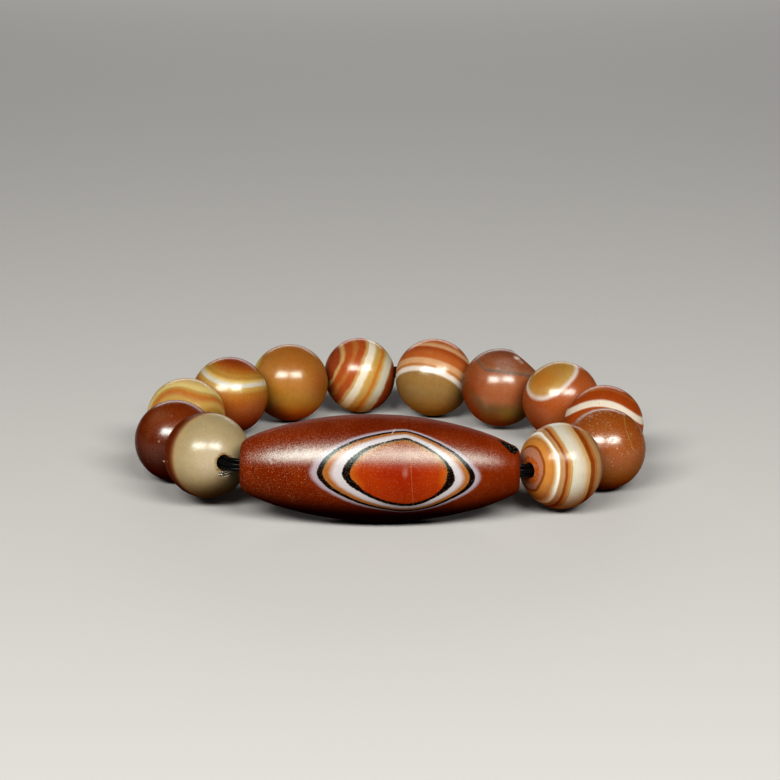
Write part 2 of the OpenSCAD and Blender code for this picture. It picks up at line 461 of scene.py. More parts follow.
def worn_eye():
    """Points of the eye bead: its outline carried round, then taken inwards by the wear, which
    is ends_off + lumps + pits + wedge, and none of it in the bore."""
    points = turned(eye_outline() * EYE_WITHIN, EYE_CENTRE, EYE_AXIS, EYE_AROUND)
    seen = (points - EYE_CENTRE) @ np.column_stack([EYE_AXIS, EYE_BACK, EYE_UP])
    out = np.hypot(seen[..., 1], seen[..., 2])
    spoke = (points - EYE_CENTRE - seen[..., :1] * EYE_AXIS) / out[..., None]
    to_end = (np.abs(seen[..., 0]) - END_WEAR_FROM) / (END_WEAR_TO - END_WEAR_FROM)
    ends_off = END_WEAR * np.clip(to_end, 0, 1) ** 3
    lumps = 0.04 * slow_lumps(seen / 9.0, 5, 9) + 0.015 * slow_lumps(seen / 2.5, 6, 9)
    tip = seen - WEDGE_TIP
    run, across = tip @ WEDGE_RUN, np.abs(tip @ WEDGE_ACROSS)
    width = np.maximum(run * (0.7 - WEDGE_TAPER * run), 0.01)
    wedge = np.clip(1.3 * (1 - across / width), 0, 1) * (run > 0) * (seen[..., 2] > 2)
    wedge = WEDGE_DEPTH * wedge * (0.75 + 0.5 * slow_lumps(seen * 1.2, 8, 9))
    kept = np.clip((out - 2.0) / 2.5, 0, 1)
    return points - spoke * ((ends_off + lumps + eye_pits(seen) + wedge) * kept)[..., None]


def eye_pits(seen):
    """Small round pits scattered over the eye bead, each PIT_DEPTH * size deep."""
    draw = np.random.default_rng(3)
    depth = 0
    for x, turn, size in zip(draw.uniform(-21, 22, PITS), draw.uniform(0, 2 * math.pi, PITS),
                             draw.uniform(*PIT_SIZES, PITS)):
        reach = math.sqrt(EYE_SIDE_R ** 2 - x ** 2) - EYE_SIDE_R + EYE_R
        centre = np.array([x, reach * math.cos(turn), reach * math.sin(turn)])
        distance = norm(seen - centre, axis=-1)
        depth = depth + PIT_DEPTH * size * np.exp(-(distance / size * 2) ** 2)
    return depth


def round_bead(node, place, material, press):
    """A drilled ball, slightly uneven, with what press takes off it: every point is moved
    towards the centre, never outwards."""
    radius = place["radius"] - WITHIN
    points = turned(ball_outline(radius, place["share"]), (0, 0, 0), place["bore"],
                    BALL_AROUND)
    direction = unit(points)
    off_axis = norm(np.cross(points, place["bore"]), axis=-1)
    skin = np.clip((off_axis - BORE_R - 0.05) / LIP_R, 0, 1)[..., None]
    depth = 0.06 * slow_lumps(direction, sum(map(ord, node)))[..., None]
    if press:
        depth = depth + press(direction, place)[..., None]
    return closed_surface(node.replace("bead", "agate_bead"),
                          place["centre"] + points - direction * depth * skin, material)


# Wear on the round beads, as depths in millimetres by direction from the bead's centre

CHIP_AT = (0.47, -0.865, -0.174)
FLAT_AT, FLAT_DEPTH = (0.66, 0.21, 0.72), 0.65
POCKS, POCK_WIDTHS, POCK_DEPTHS = 26, (0.05, 0.11), (0.02, 0.06)


def chipped(direction, place):
    """The shell-shaped chip under the bore mouth of the first bead, with a few ripples."""
    towards = unit(CHIP_AT)
    across = unit(np.cross(towards, UP))
    offset = direction - towards
    u, v = offset @ across, offset @ np.cross(across, towards)
    reach = np.hypot(u / 0.165, v / 0.115) + 0.12 * np.sin(5 * np.arctan2(v, u) + 1)
    bowl = np.clip(1 - reach ** 2, 0, 1)
    ripple = 1 + 0.35 * np.sin(11 * reach + 9 * u)
    return 0.24 * bowl ** 0.7 * ripple


def ground_flat(direction, place):
    """The flat ground on one bead: what stands past a plane is taken off."""
    facing = direction @ unit(FLAT_AT)
    reach = (place["radius"] - FLAT_DEPTH) / np.maximum(facing, 0.2)
    return np.clip(place["radius"] - reach, 0, None)


def pocked(direction, place):
    """Small shallow pits scattered over the plain orange bead, each
    deep * exp(-(distance / half width) ** 2)."""
    draw = np.random.default_rng(11)
    depth = 0
    for towards, width, deep in zip(draw.normal(size=(POCKS, 3)),
                                    draw.uniform(*POCK_WIDTHS, POCKS),
                                    draw.uniform(*POCK_DEPTHS, POCKS)):
        distance = norm(direction - unit(towards), axis=-1)
        depth = depth + deep * np.exp(-(distance / (width / 2)) ** 2)
    return depth


# Finishes of the round beads. The layers of a banded stone are level surfaces of
# level = spot . normal + bend * (spot . grain)^2 + height * sin(pace * spot . grain + start)
# where the spot is measured from the bead's centre in bead radii, and a wave is (height,
# pace, start).

LAYER_EDGE = 0.03             # usual softness between two layers
# Colour of the painted glints on the chip's ripples.
PAINTED_GLINT = (0.72, 0.68, 0.56, 1.0)


def stone(place, normal, bands, grain=(1, 0, 0), bend=0.0, wave=None, folds=(), lines=(),
          patches=(), halo=None, scar=None, pits=False, wander=0.015, haze=0.05, fine=0.03,
          dust=0.0, rough=0.1, shine=0.32, dull=None, tone=(1, 1, 1), low=(1.4, 0.9, 0.3)):
    """Polished agate: wandering layers, clouds, patches, hairlines and pale specks, multiplied
    by the tone. A painted shade darkens the top. Towards the floor it is multiplied by low, a
    painted shade that paints light where low passes 1, and loses its gloss, and dull is
    the range of layers over which the gloss goes."""
    f = Finish("polished_" + place["slot"])
    radius = place["radius"] * MM
    spot = f.place(tuple(-place["centre"] * MM / radius), 1 / radius)
    height = f.along(spot, UP)
    shaken = f.wander(f.wander(spot, 1.1, wander), 5.0, wander * 0.4)
    level = layer_level(f, shaken, normal, grain, bend, wave, folds)
    tint = clouded(f, spot, level, f.bands(level, bands, LAYER_EDGE), fine, haze)
    tint = marked(f, spot, level, tint, patches, lines)
    if halo:
        tint = haloed(f, spot, tint, place["bore"], *halo)
    flecks = f.specks(f.wander(spot, 4.0, 0.1), 8.0, 0.12, 0.2)
    tint = f.blend(f.times(flecks, dust), tint, "snow")
    tint = f.blend(1.0, tint, (*tone, 1.0), "MULTIPLY")
    # Painted shade over the top: the colour darkens towards black, by a quarter at the very top.
    tint = f.blend(f.fade(height, 0.1, 0.95, 0.0, 0.25), tint, PAINTED_SHADE_BLACK)
    # Painted shade and light towards the floor: below the middle the colour is multiplied by low,
    # darker where a channel of low is under 1 and lighter where it is over 1.
    tint = f.blend(f.fade(height, -0.15, -0.95), tint, (*low, 1.0), "MULTIPLY")
    bump = f.relief(f.noise(spot, 60.0, 3.0, 0.6), 0.000012)
    gloss = f.times(f.fade(height, 0.15, -0.65, shine, 0.0), f.turned_away())
    if dull:
        gloss = f.times(gloss, f.fade(level, *dull, 1.0, 0.1))
    if scar:
        tint, bump = scarred(f, spot, tint, bump, *scar)
    if pits:
        tint, bump = pitted(f, spot, tint, bump)
    polish = f.worn_polish(spot, 55.0, rough, rough + 0.2)
    return f.done(tint, polish, gloss, bump, glow=0.1)


def clouded(f, spot, level, tint, fine, haze):
    """Fine streaks along the layers, pale clouds and a slight mottling over the tint."""
    layering = f.step("TexNoise", {
        "W": f.times(level, 26.0), "Scale": 1.0, "Detail": 2.0},
        noise_dimensions="1D").outputs["Fac"]
    streaks = f.fade(layering, 0.65, 0.3, 0.0, fine * 2)
    tint = f.blend(streaks, tint, shade(196, 170, 140), "MULTIPLY")
    clouds = f.fade(f.noise(spot, 2.4, 4.0, 0.6), 0.5, 0.8, 0.0, haze)
    tint = f.blend(clouds, tint, "mist")
    mottling = f.fade(f.noise(spot, 7.0, 3.0), 0.35, 0.7, 0.0, 0.1)
    return f.blend(mottling, tint, shade(170, 150, 136), "MULTIPLY")


def marked(f, spot, level, tint, patches, lines):
    """Soft round patches, each (towards, inner, outer, colour, strength), then thin lines, each
    (normal of its plane or None for a layer, place, width, colour, strength, *limits), where a
    limit lets the line grow along a direction from start to end."""
    for towards, inner, outer, name, strength in patches:
        reach = f.away(f.wander(spot, 3.0, 0.06), unit(towards))
        tint = f.blend(f.fade(reach, inner, outer, strength, 0.0), tint, name)
    for normal, at, width, name, strength, *limits in lines:
        value = f.along(f.wander(spot, 3.0, 0.02), unit(normal)) if normal else level
        share = f.hairline(value, at, width, strength)
        for direction, start, end in limits:
            share = f.times(share, f.fade(f.along(spot, unit(direction)), start, end))
        tint = f.blend(share, tint, name)
    return tint


def haloed(f, spot, tint, bore, towards, inner, outer, name, strength):
    """A grainy stain round a direction or a bore mouth."""
    centre = towards * bore if isinstance(towards, int) else unit(towards)
    reach = f.away(f.wander(spot, 9.0, 0.05), centre)
    grains = f.fade(f.noise(spot, 16.0, 2.0), 0.38, 0.55, 0.35, 1.0)
    return f.blend(f.times(f.fade(reach, inner, outer, strength, 0.0), grains), tint, name)


def scarred(f, spot, tint, bump, centre, across, wide, tall, source):
    """The broken face of a chip: an oval of ripples round the place of the blow, with painted
    glints on them and painted shade, olive, in the hollow.
    """
    shaken = f.wander(spot, 9.0, 0.03)
    inside = f.fade(f.oval(shaken, centre, across, wide, tall), 1.0, 0.8)
    ripple = f.sum("SINE", f.times(f.away(shaken, unit(source)), 95.0))
    bump = f.relief(f.times(ripple, inside), 0.00015, bump)
    painted_glints = f.times(f.fade(ripple, 0.0, 0.7), f.fade(f.noise(spot, 11.0), 0.35, 0.45))
    # Painted shade: the chip's hollow is darkened to olive.
    tint = f.blend(f.times(inside, 0.4), tint, "olive")
    return f.blend(f.times(painted_glints, inside), tint, PAINTED_GLINT), bump


def pitted(f, spot, tint, bump):
    """Groups of small pits, large and fine ones, with pale colour in them as painted glints."""
    groups = f.fade(f.noise(spot, 2.2, 2.0), 0.42, 0.6, 0.1, 1.0)
    shaken = f.wander(spot, 13.0, 0.06)
    holes = f.sum("MAXIMUM", f.specks(shaken, 9.0, 0.24, 0.7),
                  f.specks(shaken, 15.0, 0.3, 0.8))
    holes = f.times(holes, groups)
    bump = f.relief(f.minus(1.0, holes), 0.0001, bump)
    # Painted glints: the pits are filled with pale butter.
    return f.blend(f.times(holes, 0.6), tint, "butter"), bump


def layer_level(f, spot, normal, grain, bend, wave, folds):
    """Level of the stone's layers at a spot. A fold adds its slope times how far the spot lies
    past its start along a direction, so that the layers turn a corner there."""
    level = f.along(spot, unit(normal))
    grain = f.along(spot, unit(grain))
    if bend:
        level = f.times_plus(f.times(grain, grain), bend, level)
    if wave:
        height, pace, start = wave
        swing = f.sum("SINE", f.times_plus(grain, pace, start))
        level = f.times_plus(swing, height, level)
    for direction, start, slope in folds:
        past = f.sum("MAXIMUM", f.minus(f.along(spot, unit(direction)), start), 0.0)
        level = f.times_plus(past, slope, level)
    return level


# The twelve stones. A halo's direction may be 1 or -1, for the bore mouth at that end. The
# stroke runs along bead_11's two scratches.

STROKE = (-0.3, 0.6, 0.75)
# In each stone, low is painted shade and light towards the floor.
STONES = {
    "bead_01": dict(normal=(-0.539, 0.828, -0.157), bands=[(-1.2, "bone"),
        (-0.27, "butter", 0.14), (-0.15, "buff", 0.1), (-0.07, "clay", 0.06),
        # bead_01's milk patch, facing the front by the highlight, is a painted glow round the
        # highlight.
        (0.0, "chestnut", 0.06)], patches=[((0.15, -0.95, 0.2), 0.1, 0.7, "milk", 0.3),
        # bead_01's olive patch low on the right is painted shade.
        ((0.55, -0.5, -0.65), 0.25, 1.0, "olive", 0.6)], halo=(-1, 0.215, 0.265, "khaki", 1.0),
        scar=(CHIP_AT, (0.88, 0.475, 0), 0.17, 0.1, (0.453, -0.888, 0.073)), haze=0.1, dust=1.0,
        fine=0.0, tone=(0.81, 0.82, 0.9), dull=(-0.4, -0.1), low=(0.43, 0.21, 0.06), shine=0.24),
    "bead_02": dict(normal=(0.1, -0.1, 0.99), bands=[(-1.2, "garnet"), (-0.7, "oxblood", 0.4),
        (-0.1, "bay", 0.5), (0.5, "chestnut", 0.5)],
        # bead_02's first mist patch, by the highlight, is partly a haze on the stone and partly a
        # painted halo round the highlight.
        patches=[((-0.4, -0.5, 0.78), 0.0, 0.4, "mist", 0.1),
        ((-0.329, -0.908, 0.259), 0.01, 0.04, "mist", 0.8),
        ((-0.206, -0.95, -0.236), 0.01, 0.04, "milk", 0.9)], wander=0.1, fine=0.0,
        rough=0.12, shine=0.44, tone=(0.96, 1.0, 0.78), low=(1.4, 0.6, 0.1), dust=0.5),
    "bead_03": dict(normal=(-0.234, 0.972, 0.02), grain=(-0.857, -0.216, 0.467),
        wave=(0.2, 3.14, -5.15), bands=[(-1.3, "bronze"), (-0.66, "gold", 0.1),
        (-0.53, "copper", 0.08), (-0.45, "saffron", 0.05), (-0.38, "gold", 0.1),
        (-0.3, "cream", 0.08), (-0.1, "straw", 0.1), (0.05, "wheat", 0.1), (0.5, "orange", 0.1),
        (0.6, "straw", 0.1)], tone=(1.05, 1.1, 1.18), low=(1.2, 0.8, 0.4)),
    "bead_04": dict(normal=(0.225, 0.261, 0.939), grain=(0.968, -0.168, -0.185), bend=-0.333,
        bands=[(-1.3, "oxblood"), (-0.85, "russet", 0.4), (-0.45, "amber", 0.4),
        (-0.15, "honey", 0.2), (0.08, "gold", 0.12), (0.21, "pearl", 0.05), (0.34, "straw", 0.05),
        (0.4, "mustard", 0.1), (0.6, "honey", 0.12), (0.67, "amber", 0.1),
        (0.78, "russet", 0.15)], patches=[((0.88, -0.22, 0.4), 0.03, 0.14, "shell", 0.9)],
        low=(1.25, 0.85, 0.6), tone=(0.99, 1.05, 1.1), fine=0.0),
    "bead_05": dict(normal=(0.2, -0.3, 0.93), bands=[(-1.2, "umber"), (-0.75, "amber", 0.5),
        (-0.3, "honey", 0.4), (0.3, "tan", 0.3), (0.9, "amber", 0.5)],
        patches=[((-0.87, 0.0, 0.5), 0.1, 0.42, "straw", 0.8),
        ((0.85, -0.5, 0.1), 0.1, 0.7, "russet", 0.6),
        ((-0.45, -0.6, -0.65), 0.2, 0.7, "olive", 0.5)], wander=0.12, fine=0.0,
        tone=(0.97, 1.24, 1.15), low=(1.5, 0.63, 0.06)),
    "bead_06": dict(normal=(0.884, 0.111, -0.453), folds=[((-0.6, 0.0, 0.8), 0.72, 0.4)],
        bands=[(-1.2, "brick"), (-0.76, "wheat", 0.04), (-0.7, "rust", 0.04),
        (-0.57, "tan", 0.06), (-0.48, "rust", 0.06), (-0.28, "wheat", 0.1), (-0.24, "milk", 0.06),
        (-0.02, "gold", 0.08), (0.16, "saffron", 0.06), (0.25, "gold", 0.05),
        (0.33, "ivory", 0.1), (0.56, "russet", 0.08), (0.7, "chestnut", 0.15)], wander=0.07,
        fine=0.05, tone=(1.07, 1.14, 1.2), low=(1.05, 0.56, 0.19)),
    "bead_07": dict(normal=(0.268, 0.694, 0.668), bands=[(-1.2, "khaki"), (-0.405, "chalk", 0.05),
        (-0.285, "copper", 0.05), (-0.205, "apricot", 0.04), (-0.04, "orange", 0.05),
        (0.2, "rust", 0.12), (0.35, "apricot", 0.06), (0.5, "orange", 0.1)],
        tone=(0.99, 1.08, 1.1), low=(1.5, 0.95, 0.3)),
    "bead_08": dict(normal=(0.116, 0.35, 0.93), folds=[((-1, 0, 0), 0.43, -1.4)],
        bands=[(-1.2, "russet"), (-0.85, "moss", 0.3), (-0.55, "cedar", 0.2),
        (0.33, "buff", 0.03), (0.42, "mauve", 0.15), (0.75, "clay", 0.2)],
        lines=[(None, 0.31, 0.055, "grape", 0.85)],
        patches=[((-0.8, -0.5, 0.2), 0.1, 0.75, "russet", 0.7),
        ((0.65, -0.7, 0.0), 0.1, 0.6, "russet", 0.35),
        ((0.25, -0.85, -0.45), 0.05, 0.45, "bronze", 0.6),
        ((0.385, -0.3, 0.873), 0.02, 0.12, "chalk", 0.85),
        ((0.5, -0.37, 0.78), 0.02, 0.12, "mist", 0.6),
        ((-0.11, -0.71, 0.7), 0.01, 0.09, "mist", 0.4)],
        halo=((0.1, -0.66, 0.74), 0.1, 0.42, "mist", 0.3), haze=0.15, wander=0.03,
        tone=(0.95, 1.03, 1.12), low=(1.6, 1.3, 0.8)),
    "bead_09": dict(normal=(-0.355, -0.317, 0.88), grain=(0.556, 0.685, 0.471), bend=0.176,
        bands=[(-1.2, "russet"), (-0.3, "terracotta", 0.5), (0.738, "chalk", 0.045),
        (0.8, "gold", 0.05), (0.9, "mustard", 0.08)],
        patches=[((-0.6, -0.45, 0.67), 0.1, 0.55, "saffron", 0.55),
        ((-0.75, -0.6, -0.15), 0.1, 0.6, "russet", 0.5)], wander=0.01, haze=0.12,
        tone=(0.97, 1.0, 1.03), low=(0.8, 0.36, 0.05)),
    "bead_10": dict(normal=(0.066, 0.061, 0.996), grain=(-0.983, 0.175, 0.055), bend=0.515,
        bands=[(-1.2, "chestnut"), (-0.5, "sienna", 0.4), (0.627, "china", 0.025),
        (0.775, "sienna", 0.035)], lines=[(None, 0.96, 0.02, "wheat", 0.2)],
        patches=[((-0.3, 0.1, 0.95), 0.05, 0.4, "saffron", 0.5),
        ((-0.2, -0.625, 0.755), 0.0, 0.03, "buff", 0.6)], wander=0.01, low=(1.0, 0.7, 0.3),
        fine=0.1, tone=(0.98, 0.96, 0.88)),
    "bead_11": dict(normal=(0.2, -0.4, 0.9), bands=[(-1.2, "oxblood"), (-0.8, "chestnut", 0.35),
        (-0.4, "amber", 0.4), (0.2, "rust", 0.4), (0.75, "sienna", 0.3)],
        lines=[((0.911, -0.147, 0.385), 0.758, 0.007, "straw", 0.4, (STROKE, -0.46, -0.43)),
        ((0.4255, 0.5805, 0.6937), 0.0, 0.007, "straw", 0.4, (STROKE, -0.42, -0.45),
        (STROKE, -0.58, -0.55))], wander=0.08,
        pits=True, fine=0.0, shine=0.5, tone=(0.81, 1.12, 1.12), low=(1.2, 0.6, 0.2), dust=0.4),
    "bead_12": dict(normal=(-0.835, -0.539, 0.109), folds=[((0.31, -0.3, 0.9), 0.67, -0.38),
        ((0, 0, -1), 0.25, 0.15), ((-0.146, 0.408, 0.901), 0.65, 0.25)], bands=[(-1.2, "buff"),
        (-0.52, "sand", 0.06), (-0.33, "tan", 0.04), (-0.25, "fox", 0.03), (-0.11, "wheat", 0.03),
        (0.0, "shell", 0.12), (0.12, "pearl", 0.12), (0.34, "butter", 0.02),
        (0.385, "copper", 0.04), (0.445, "fox", 0.02), (0.5, "sand", 0.03), (0.6, "snow", 0.02),
        (0.655, "sesame", 0.04), (0.69, "copper", 0.04), (0.74, "tawny", 0.06),
        (0.84, "rose", 0.02)], lines=[(None, 0.365, 0.012, "khaki", 0.8),
        (None, 0.832, 0.02, "fox", 0.9)], halo=(1, 0.31, 0.37, "glow", 1.0), dust=0.6,
        fine=0.04, tone=(1.0, 1.08, 1.14), low=(0.74, 0.27, 0.05), wander=0.02, shine=0.17),
}


# The eye on the long bead. Each row gives a direction round the eye's middle in degrees (0 to
# the right, 90 up) and how many millimetres out the dark, the white and the pale outer ring
# start. Between the last two of these every other ring keeps its share of the way.

EYE_X, EYE_RISE = 3.8, 11.0   # the eye's middle: along the bead, and degrees up
EYE_SQUEEZE = 0.69            # what a length along the bead counts
EYE_ROUND = 8.6               # millimetres round the bead for each radian up
EYE_RINGS = [
    (-180, 5.65, 6.45, 9.25), (-170, 5.4, 6.2, 8.85), (-160, 5.05, 5.85, 8.2),
    (-150, 4.9, 5.45, 7.55), (-140, 4.75, 5.2, 7.1), (-130, 4.7, 5.1, 6.78),
    (-120, 4.7, 5.08, 6.58), (-110, 4.75, 5.22, 6.5), (-100, 4.91, 5.38, 6.62),
    (-90, 5.12, 5.61, 6.9), (-78, 5.33, 5.87, 7.12), (-65, 5.4, 5.91, 7.25),
    (-50, 5.4, 5.8, 7.4), (-40, 5.4, 5.85, 7.6), (-30, 5.35, 6.0, 7.95),
    (-20, 5.3, 6.15, 8.25), (-10, 5.3, 6.2, 8.4), (0, 5.3, 6.05, 8.3),
    (10, 5.38, 5.87, 8.0), (20, 5.4, 5.72, 7.7), (40, 5.35, 5.58, 7.3),
    (55, 5.34, 5.62, 7.17), (70, 5.55, 5.81, 7.3), (79, 5.79, 6.09, 7.52),
    (84, 5.87, 6.2, 7.65), (90, 5.73, 6.02, 7.55), (100, 5.45, 5.74, 7.3),
    (115, 5.3, 5.55, 7.22), (130, 5.25, 5.68, 7.48), (145, 5.3, 5.85, 7.95),
    (160, 5.38, 6.15, 8.65), (180, 5.65, 6.45, 9.25),
]


def eye_finish():
    """Satin red-brown stone with one eye of nested rings, hairlines, pits and pale flecks, with
    painted shade over the top and towards the floor and painted glints in the wedge.
    """
    f = Finish("satin_dzi_agate")
    turn = Matrix((EYE_AXIS, EYE_BACK, EYE_UP))
    shift = [float(v) for v in (np.array(turn) @ -EYE_CENTRE)]
    spot = f.place(shift, 1 / MM, tuple(turn.to_euler()))
    x, y, z = f.axes(spot)
    grain = f.noise(spot, 6.0, 2.0, 0.8)

    tint, flank = eye_rings(f, spot)
    body = f.blend(f.fade(f.noise(spot, 0.16, 4.0, 0.55), 0.35, 0.7), "satin_red",
                   "satin_brown")
    tint = eye_flecks(f, spot, x, grain, f.blend(flank, tint, body))
    tint = eye_scratches(f, spot, x, y, z, tint)
    # Painted shade: darker and redder towards the floor, and darkened towards black over the top.
    tint = f.blend(f.fade(z, -2.3, -6.4, 0.0, 0.98), tint, shade(76, 5, 2), "MULTIPLY")
    tint = f.blend(f.fade(z, 4.5, 8.6, 0.0, 0.25), tint, PAINTED_SHADE_BLACK)
    pits = f.cells(f.wander(spot, 2.0, 0.2), 2.6).outputs["Distance"]
    normal = f.relief(f.fade(pits, 0.04, 0.2), 0.00002, f.relief(grain, 0.00003))

    worn = eye_wedge(f, spot)
    # The wedge is ink with milk flecks where the crumbs noise is high: the flecks are painted
    # glints.
    crumbs = f.noise(spot, 3.5, 4.0, 0.8)
    tint = f.blend(worn, tint, f.blend(f.fade(crumbs, 0.57, 0.64, 0.0, 0.85), "ink", "milk"))
    normal = f.relief(f.times(worn, crumbs), 0.0005, normal)
    gloss = f.times(eye_gloss(f, x, climb(f, y, z), tint),
                    f.fade(flank, -2.6, 1.0, how="LINEAR"), f.fade(grain, 0.3, 0.7, 0.5, 1.5),
                    f.fade(worn, 1.3, -0.05, how="LINEAR"))
    return f.done(tint, f.worn_polish(spot, 6.0, 0.25, 0.42), gloss, normal, glow=0.05,
                  sheen=(0.86, 1.0, 0.9, 1.0))


def climb(f, y, z):
    """Angle round the eye bead: 0 level at the front, and growing upwards."""
    return f.sum("ARCTAN2", z, f.times(y, -1.0))


def eye_gloss(f, x, rise, tint):
    """Gloss by place and colour: most on the upper front and the back, less towards the ends
    and where the colour is pale or black."""
    front = f.times(f.fade(rise, 0.18, 0.72, 0.0, 1.15), f.fade(rise, 0.72, 1.1, 1.0, 0.06))
    back = f.fade(rise, 1.9, 2.4, 0.0, 0.7)
    pale = f.step("RGBToBW", {"Color": tint}).outputs[0]
    ends = f.times(f.fade(x, -17.0, -20.0, 1.0, 0.6), f.fade(x, 6.0, 16.0, 1.0, 0.7),
                   f.fade(x, 19.0, 22.0, 1.0, 0.1))
    return f.times(f.sum("MAXIMUM", front, back), f.turned_away(),
                   f.fade(pale, 0.5, 0.0, how="LINEAR"), f.fade(pale, 0.0, 0.015, 0.6), ends)


def eye_flecks(f, spot, x, grain, tint):
    """Dark grain, pale flecks and dust that thin out to the right, and a few black dots."""
    tint = f.blend(f.fade(grain, 0.45, 0.3, 0.0, 0.3), tint, shade(150, 110, 90), "MULTIPLY")
    dense = f.fade(x, -22.0, 0.0, 0.8, 0.35)
    dust = f.specks(f.wander(spot, 3.0, 0.15), 4.2, 0.24, 0.4)
    for flecks in (f.fade(grain, 0.6, 0.74), dust):
        tint = f.blend(f.times(flecks, dense), tint, "shell")
    return f.blend(f.times(f.specks(spot, 0.45, 0.08, 0.3), 0.8), tint, "soot")


def eye_rings(f, spot):
    """Colour of the eye, and the share of the plain stone round it. With s the distance from
    the eye's middle, each edge comes from the table by direction."""
    x, y, z = f.axes(f.wander(spot, 0.9, 0.05))
    across = f.times(f.minus(x, EYE_X), EYE_SQUEEZE)
    up = f.times(f.minus(climb(f, y, z), math.radians(EYE_RISE)), EYE_ROUND)
    s = f.diagonal(across, up)
    direction = f.sum("ARCTAN2", up, across)
    dark, white, pale = f.around(direction, EYE_RINGS)

    grain = f.minus(f.noise(spot, 5.0, 3.0, 0.85), 0.5)
    ragged = f.times_plus(grain, 0.6, s)
    rim = f.minus(f.minus(s, dark), f.fade(up, -1.0, -3.6, 0.0, 1.3))
    heart = f.bands(rim, [
        (-6.0, "ember"), (-3.0, "flame", 2.0), (-0.75, "glow", 0.8), (-0.2, "ochre", 0.4)], 0.2)
    # The upper heart is made less red: partly its own colour above the highlight, partly painted
    # to make the highlight there look whiter.
    less_red_and_whiter_highlight = f.fade(up, 0.5, 2.5, 0.0, 0.8)
    heart = f.blend(less_red_and_whiter_highlight, heart, shade(212, 255, 255), "MULTIPLY")
    way = f.sum("DIVIDE", f.minus(s, white), f.minus(pale, white))
    side = f.sum("COSINE", direction)
    share = way
    for swing, amount in ((f.sum("SINE", direction), -0.01), (f.times(side, side), 0.055),
                          (side, 0.02), (grain, 0.12)):
        share = f.times_plus(swing, amount, share)
    rings = f.bands(share, [(-0.5, "paper"), (0.49, "ochre", 0.26), (0.82, "soot", 0.06)], 0.05)
    rings = f.blend(f.fade(f.minus(s, pale), 0.0, 0.1), rings, "lilac")
    tint = f.blend(f.fade(f.minus(ragged, white), -0.03, 0.09), "soot", rings)
    tint = f.blend(f.fade(f.minus(ragged, dark), -0.12, 0.04), heart, tint)
    return tint, f.fade(way, 1.14, 1.42)


def eye_scratches(f, spot, x, y, z, tint):
    """The hairline over the bead, a nick across the rings, a hazy spot and a faint contour."""
    bow = f.times_plus(z, 0.0714, x)
    for at, width, strength, kept, name in (
            (5.76, 0.11, 0.18, f.fade(y, -3.0, -5.0), "wheat"),
            (5.74, 0.1, 0.4, f.fade(z, 6.5, 7.5), "soot")):
        tint = f.blend(f.times(f.hairline(bow, at, width, strength), kept), tint, name)
    front = f.fade(y, 0.0, -1.0)
    slant = f.along(spot, (0.687, 0, -0.727))
    to_part = f.sum("MINIMUM", *(f.sum("ABSOLUTE", f.minus(x, part)) for part in (1.4, 2.6)))
    nick = f.times(f.hairline(slant, -3.74, 0.11, 0.4), f.fade(to_part, 0.15, 0.4, 1.0, 0.0))
    tint = f.blend(f.times(nick, front), tint, "snow")
    haze = f.oval(f.wander(spot, 2.0, 0.15), (4.66, -8.5, 1.94), (1, 0, 0), 0.75, 1.3)
    tint = f.blend(f.fade(haze, 0.1, 1.0, 0.26, 0.0), tint, "mist")
    height = f.minus(z, 1.1)
    curve = f.times_plus(f.times(height, height), -0.25, x)
    kept = f.fade(f.sum("ABSOLUTE", height), 1.4, 2.6, 0.35, 0.0)
    return f.blend(f.times(f.hairline(curve, -20.13, 0.2), kept, front), tint, "soot")


def eye_wedge(f, spot):
    """Share of the black rough wedge near the right end."""
    edge = f.wander(f.wander(spot, 1.6, 0.3), 5.0, 0.25)
    run, across = (f.minus(f.along(edge, way), float(WEDGE_TIP @ way))
                   for way in (WEDGE_RUN, WEDGE_ACROSS))
    width = f.times(run, f.times_plus(run, -WEDGE_TAPER, 0.76))
    inside = f.fade(f.minus(f.sum("ABSOLUTE", across), width), 0.08, -0.08)
    length = f.times(f.fade(run, -0.05, 0.1), f.fade(run, 3.7, 3.5))
    outer = f.fade(f.along(spot, UP), 2.0, 2.6)
    return f.times(inside, length, outer)


# The elastic

STRANDS, STRAND_R, STRAND_OUT = 5, 0.42, 0.72
STRAND_SIDES, STRAND_TWISTS = 12, 2
THREAD_LEAD = 0.45            # how far it runs on past a bore mouth before it bends
STEP_LENGTH, CORNER_REACH = 0.6, 1.2


def thread_route(places):
    """The closed line that the elastic follows: clear of each end of the eye bead, then
    through the places where each two bores meet."""
    beads = list(places.values())
    bore = [b["bore"] for b in beads]
    half = [b["radius"] * b["share"] * b["bore"] for b in beads]
    mouth_in = [b["centre"] - h for b, h in zip(beads, half)]
    mouth_out = [b["centre"] + h for b, h in zip(beads, half)]
    route = [EYE_CENTRE - (EYE_LEFT + THREAD_LEAD) * EYE_AXIS,
             mouth_in[0] - THREAD_LEAD * bore[0]]
    for here, there, left, entered in zip(bore, bore[1:], mouth_out, mouth_in[1:]):
        reach = norm(entered - left) / norm(here + there)
        route.append((left + reach * here + entered - reach * there) / 2)
    route += [mouth_out[-1] + THREAD_LEAD * bore[-1],
              EYE_CENTRE + (EYE_RIGHT + THREAD_LEAD) * EYE_AXIS]
    return np.array(route)


def smooth_loop(route, spacing, reach):
    """The closed route at an even spacing, with its corners rounded by a running mean."""
    closed = np.vstack([route, route[:1]])
    step = norm(np.diff(closed, axis=0), axis=1)
    run = np.concatenate([[0], np.cumsum(step)])
    count = int(run[-1] / spacing)
    at = np.linspace(0, run[-1], count, endpoint=False)
    line = np.stack([np.interp(at, run, closed[:, k]) for k in range(3)], -1)
    window = np.hanning(2 * int(reach / spacing) + 3)[1:-1]
    window /= window.sum()
    half = len(window) // 2
    padded = np.vstack([line[-half:], line, line[:half]])
    return np.stack([np.convolve(padded[:, k], window, "valid") for k in range(3)], -1)


